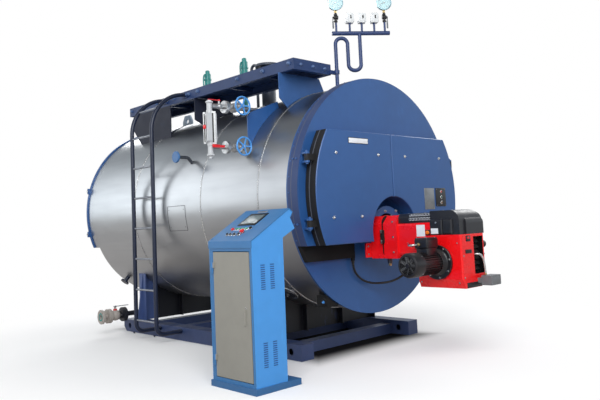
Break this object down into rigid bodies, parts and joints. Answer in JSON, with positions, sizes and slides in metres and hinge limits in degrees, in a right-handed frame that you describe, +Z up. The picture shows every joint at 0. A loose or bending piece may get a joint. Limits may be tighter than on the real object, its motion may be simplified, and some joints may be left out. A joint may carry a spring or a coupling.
{
  "type": "industrial steam boiler with burner and control desk",
  "caption": "Horizontal fire-tube steam boiler on a skid, with front smokebox doors, forced-draught burner, side walkway and ladder, gauges and a separate control desk.",
  "frame": {"origin": "on the floor under the boiler axis, at the middle of the skid's length, on the underside of the middle cross member", "axes": "+Z up, +Y from the burner end to the rear, +X to the boiler's right seen from behind the burner facing the boiler"},
  "size_m": [2.9069, 5.087, 3.4249],
  "materials": {
    "boiler_blue": "semi-gloss paint",
    "skid_blue": "dark paint, scuffed",
    "stainless": "bright rolled sheet",
    "hidden_steel": "primer",
    "burner_red": "gloss paint",
    "burner_black": "moulded, fine grain",
    "motor_black": "satin paint",
    "duct_black": "matt paint",
    "cable_black": "sheathed cable",
    "ladder_blue": "gloss paint",
    "rung_steel": "bright bar",
    "valve_teal": "paint",
    "fitting_steel": "cast and machined",
    "pipe_dark": "dull paint",
    "gauge_steel": "polished case",
    "switch_white": "moulded",
    "handle_black": "dipped",
    "handle_red": "dipped",
    "wheel_blue": "gloss paint",
    "actuator_grey": "moulded",
    "desk_blue": "powder coat",
    "desk_lid_blue": "powder coat",
    "desk_door_grey": "fine texture powder coat"
  },
  "bodies": {
    "boiler": {"skid_beams": "skid_blue", "skid_cross_members": "skid_blue", "saddles": "hidden_steel", "pressure_shell": "hidden_steel", "jacket": "stainless", "front_tube_plate": "boiler_blue", "front_smokebox": "boiler_blue", "smokebox_front_plate": "boiler_blue", "door_hinge_brackets": "boiler_blue", "rear_tube_plate": "boiler_blue", "rear_smokebox": "stainless", "rear_cover": "boiler_blue", "flue_outlet": "boiler_blue", "burner_collar": "boiler_blue", "burner_head": "burner_red", "burner_neck": "burner_red", "burner_fan_housing": "burner_red", "burner_cover": "burner_black", "burner_motor": "motor_black", "damper_actuator": "actuator_grey", "cable_duct": "duct_black", "burner_cable": "cable_black", "walkway_frame": "skid_blue", "walkway_deck": "skid_blue", "walkway_supports": "skid_blue", "shoulder_gusset": "skid_blue", "ladder_rails": "ladder_blue", "ladder_rungs": "rung_steel", "safety_valves": "valve_teal", "steam_outlet": "pipe_dark", "vent_pipe": "pipe_dark", "lifting_lugs": "wheel_blue", "gauge_pipework": "skid_blue", "pressure_switches": "switch_white", "pressure_gauges": "gauge_steel", "level_valves": "fitting_steel", "level_column": "switch_white", "side_nozzle": "pipe_dark", "handhole": "stainless", "drain_nozzle": "fitting_steel", "blowdown_line": "pipe_dark", "desk_plinth": "desk_blue", "desk_sides": "desk_blue", "desk_back": "desk_blue", "desk_console": "desk_lid_blue", "desk_front_frame": "desk_lid_blue"},
    "front_door_left": {"smokebox_door_left": "boiler_blue"},
    "front_door_right": {"smokebox_door_right": "boiler_blue"},
    "gauge_lever_left": {"gauge_cock_lever_left": "handle_black"},
    "gauge_lever_right": {"gauge_cock_lever_right": "handle_black"},
    "handwheel_lower": {"level_handwheel_lower": "wheel_blue"},
    "handwheel_upper": {"level_handwheel_upper": "wheel_blue"},
    "level_lever_lower": {"level_cock_lever_lower": "handle_red"},
    "level_lever_upper": {"level_cock_lever_upper": "handle_red"},
    "blowdown_handle": {"blowdown_lever": "handle_red"},
    "cabinet_door": {"desk_door": "desk_door_grey"}
  },
  "joints": [
    {"name": "front_door_left_hinge", "type": "hinge", "parent": "boiler", "child": "front_door_left", "pos_m": [-1.035, -1.947, 1.463], "axis": [0, 0, -1], "range_deg": [0, 110]},
    {"name": "front_door_right_hinge", "type": "hinge", "parent": "boiler", "child": "front_door_right", "pos_m": [1.035, -1.947, 1.463], "axis": [0, 0, 1], "range_deg": [0, 110]},
    {"name": "gauge_cock_left", "type": "hinge", "parent": "boiler", "child": "gauge_lever_left", "pos_m": [-0.14354, -1.49871, 3.205], "axis": [-0.8028, 0.5962, 0], "range_deg": [0, 90]},
    {"name": "gauge_cock_right", "type": "hinge", "parent": "boiler", "child": "gauge_lever_right", "pos_m": [0.28758, -1.81889, 3.205], "axis": [-0.8028, 0.5962, 0], "range_deg": [0, 90]},
    {"name": "lower_valve_spindle", "type": "hinge", "parent": "boiler", "child": "handwheel_lower", "pos_m": [-1.06, -1.162, 1.92], "axis": [0, -1, 0], "range_deg": [0, 1350]},
    {"name": "upper_valve_spindle", "type": "hinge", "parent": "boiler", "child": "handwheel_upper", "pos_m": [-1.06, -1.162, 2.294], "axis": [0, -1, 0], "range_deg": [0, 1350]},
    {"name": "lower_level_cock", "type": "hinge", "parent": "boiler", "child": "level_lever_lower", "pos_m": [-1.225, -1.065, 1.92], "axis": [0, -1, 0], "range_deg": [0, 90]},
    {"name": "upper_level_cock", "type": "hinge", "parent": "boiler", "child": "level_lever_upper", "pos_m": [-1.225, -1.023, 2.344], "axis": [0, 0, 1], "range_deg": [0, 90]},
    {"name": "blowdown_valve", "type": "hinge", "parent": "boiler", "child": "blowdown_handle", "pos_m": [-1.04, 1.394, 0.3163], "axis": [0, 0, 1], "range_deg": [0, 90]},
    {"name": "desk_door_hinge", "type": "hinge", "parent": "boiler", "child": "cabinet_door", "pos_m": [-1.799, -1.63725, 0.545], "axis": [0, 0, -1], "range_deg": [0, 105]}
  ]
}
